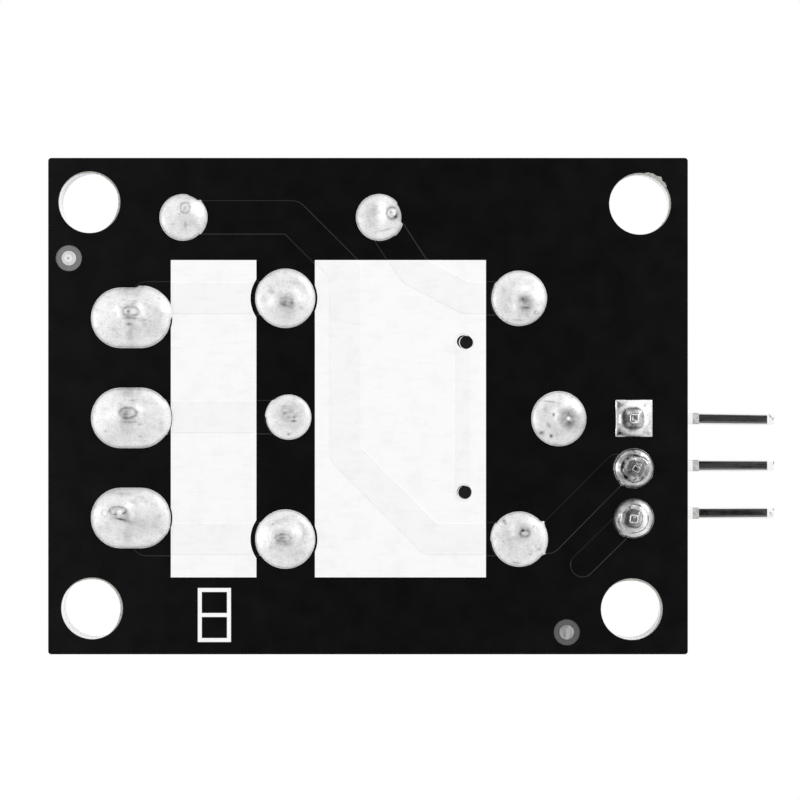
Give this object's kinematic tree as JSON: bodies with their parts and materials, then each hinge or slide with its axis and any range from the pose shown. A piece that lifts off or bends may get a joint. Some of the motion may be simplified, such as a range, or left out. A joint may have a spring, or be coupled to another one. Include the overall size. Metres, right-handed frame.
{
  "type": "relay module board",
  "caption": "Small circuit board carrying a sealed relay, a screw terminal block, a diode and a bent pin header, shown from its solder side.",
  "frame": {"origin": "middle of the four mounting holes, on the board's solder side", "axes": "+Z out of the component side, +X towards the header pins, wires enter from -X; board square to the axes"},
  "size_m": [0.0377, 0.0252, 0.0185],
  "materials": {
    "legend_ink": "satin white print",
    "solder": "satin tin solder",
    "board_mask": "satin black mask over glass laminate",
    "terminal_plastic": "moulded blue, satin",
    "plated_steel": "zinc plated",
    "plated_clamp": "nickel plated",
    "tinned_brass": "tin plated",
    "relay_plastic": "moulded blue, satin",
    "relay_base_plastic": "moulded black",
    "soft_iron": "plated iron",
    "bobbin_plastic": "natural nylon",
    "enamelled_wire": "enamelled copper",
    "spring_bronze": "rolled strip",
    "black_plastic": "moulded black",
    "epoxy_black": "moulded epoxy",
    "band_grey": "printed band",
    "lamp_lens": "clear resin over the lamp",
    "chip_ceramic": "glazed ceramic"
  },
  "bodies": {
    "board": {"base_resistor": "chip_ceramic", "base_resistor_ends": "solder", "chip_solder": "solder", "circuit_board": "board_mask", "coil_pin_1": "tinned_brass", "coil_pin_2": "tinned_brass", "common_pin": "spring_bronze", "component_side_legend": "legend_ink", "contact_strip_1": "tinned_brass", "contact_strip_2": "tinned_brass", "contact_strip_3": "tinned_brass", "diode_band": "band_grey", "diode_body": "epoxy_black", "diode_lead_1": "tinned_brass", "diode_lead_2": "tinned_brass", "fiducial_dots": "solder", "header_insulator": "black_plastic", "header_pin_1": "tinned_brass", "header_pin_2": "tinned_brass", "header_pin_3": "tinned_brass", "hinge_spring": "spring_bronze", "lamp": "lamp_lens", "lamp_ends": "solder", "lamp_resistor": "chip_ceramic", "lamp_resistor_ends": "solder", "normally_closed_contact": "spring_bronze", "normally_open_contact": "spring_bronze", "relay_base": "relay_base_plastic", "relay_bobbin": "bobbin_plastic", "relay_core": "soft_iron", "relay_cover": "relay_plastic", "relay_winding": "enamelled_wire", "relay_yoke": "soft_iron", "solder_coil_end": "solder", "solder_coil_start": "solder", "solder_common": "solder", "solder_diode_1": "solder", "solder_diode_2": "solder", "solder_header_1": "solder", "solder_header_2": "solder", "solder_header_3": "solder", "solder_link": "solder", "solder_normally_closed": "solder", "solder_normally_open": "solder", "solder_side_legend": "legend_ink", "solder_terminal_1": "solder", "solder_terminal_2": "solder", "solder_terminal_3": "solder", "terminal_housing": "terminal_plastic", "transistor_body": "epoxy_black", "transistor_legs": "tinned_brass"},
    "screw_1": {"clamp_screw_1": "plated_steel"},
    "clamp_1": {"rising_clamp_1": "plated_clamp"},
    "screw_2": {"clamp_screw_2": "plated_steel"},
    "clamp_2": {"rising_clamp_2": "plated_clamp"},
    "screw_3": {"clamp_screw_3": "plated_steel"},
    "clamp_3": {"rising_clamp_3": "plated_clamp"},
    "armature": {"relay_armature": "soft_iron", "contact_blade": "spring_bronze"}
  },
  "joints": [
    {"name": "screw_turn_1", "type": "hinge", "parent": "board", "child": "screw_1", "pos_m": [-0.01185, -0.0047, 0.0116], "axis": [0, 0, -1], "range_deg": [0, 1520.1]},
    {"name": "screw_turn_2", "type": "hinge", "parent": "board", "child": "screw_2", "pos_m": [-0.01185, 0.00038, 0.0116], "axis": [0, 0, -1], "range_deg": [0, 1520.1]},
    {"name": "screw_turn_3", "type": "hinge", "parent": "board", "child": "screw_3", "pos_m": [-0.01185, 0.00546, 0.0116], "axis": [0, 0, -1], "range_deg": [0, 1520.1]},
    {"name": "clamp_rise_1", "type": "slide", "parent": "board", "child": "clamp_1", "axis": [0, 0, 1], "range_m": [0, 0.0019]},
    {"name": "clamp_rise_2", "type": "slide", "parent": "board", "child": "clamp_2", "axis": [0, 0, 1], "range_m": [0, 0.0019]},
    {"name": "clamp_rise_3", "type": "slide", "parent": "board", "child": "clamp_3", "axis": [0, 0, 1], "range_m": [0, 0.0019]},
    {"name": "armature_tilt", "type": "hinge", "parent": "board", "child": "armature", "pos_m": [0.00894, 0.00066, 0.01324], "axis": [0, -1, 0], "range_deg": [0, 3], "stiffness_Nm_per_rad": 0.03, "springref_deg": -5.73}
  ],
  "couplings": [
    {"joint": "screw_turn_1", "follows": "clamp_rise_1", "rad_per_m": 13963},
    {"joint": "screw_turn_2", "follows": "clamp_rise_2", "rad_per_m": 13963},
    {"joint": "screw_turn_3", "follows": "clamp_rise_3", "rad_per_m": 13963}
  ]
}
